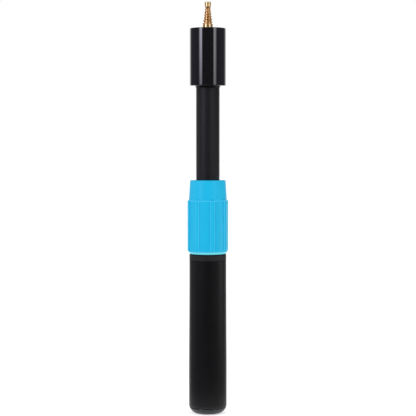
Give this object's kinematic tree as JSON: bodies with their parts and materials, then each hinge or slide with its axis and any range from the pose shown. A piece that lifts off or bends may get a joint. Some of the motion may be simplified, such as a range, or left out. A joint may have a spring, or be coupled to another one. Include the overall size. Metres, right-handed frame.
{
  "type": "telescopic magnetic pickup tool",
  "caption": "Slim telescopic pick-up tool: black grip, blue twist-lock collar, sliding black tube and gloss black magnet head with a tapered threaded brass tip.",
  "frame": {"origin": "centre of the flat end of the handle, on the surface it stands on", "axes": "+Z along the tool from the handle's end to the brass tip, -Y is the front"},
  "size_m": [0.0278, 0.0278, 0.2812],
  "materials": {
    "barrel_black": "satin moulded plastic",
    "cap_black": "satin moulded plastic",
    "ferrule_grey": "satin moulded plastic, a shade lighter than the barrel",
    "collar_blue": "bright cyan blue moulded plastic",
    "seal_rubber": "black rubber",
    "bearing_plastic": "natural white nylon",
    "tube_black": "satin black coat on aluminium tube",
    "head_black": "gloss black lacquer on steel",
    "adapter_black": "black coated steel",
    "zinc_steel": "bright zinc plate",
    "magnet_nickel": "nickel plated magnet",
    "tip_brass": "polished turned brass"
  },
  "bodies": {
    "handle": {"barrel": "barrel_black", "end_cap": "cap_black", "ferrule": "ferrule_grey", "ferrule_seal": "seal_rubber"},
    "collet": {"split_collet": "bearing_plastic"},
    "collar": {"lock_collar": "collar_blue", "thrust_washer": "bearing_plastic", "wiper_ring": "seal_rubber"},
    "carriage": {"guide_bush": "bearing_plastic"},
    "tube": {"inner_tube": "tube_black", "retaining_ring": "zinc_steel", "tube_plug": "cap_black", "head_adapter": "adapter_black", "head_sleeve": "head_black", "head_washer": "zinc_steel", "head_nut": "zinc_steel", "back_iron": "zinc_steel", "rear_magnet": "magnet_nickel", "front_magnet": "magnet_nickel", "magnet_liner": "bearing_plastic", "face_plate": "head_black", "brass_tip": "tip_brass", "tip_nut": "zinc_steel"}
  },
  "joints": [
    {"name": "collet_lift", "type": "slide", "parent": "handle", "child": "collet", "axis": [0, 0, 1], "range_m": [0, 0.001]},
    {"name": "collar_turn", "type": "hinge", "parent": "collet", "child": "collar", "pos_m": [0, 0, 0.136], "axis": [0, 0, 1], "range_deg": [0, 120]},
    {"name": "tube_slide", "type": "slide", "parent": "handle", "child": "carriage", "axis": [0, 0, 1], "range_m": [-0.061, 0.007]},
    {"name": "tube_turn", "type": "hinge", "parent": "carriage", "child": "tube", "pos_m": [0, 0, 0.084], "axis": [0, 0, 1], "continuous": true}
  ],
  "couplings": [
    {"joint": "collet_lift", "follows": "collar_turn", "m_per_rad": 0.000477}
  ]
}
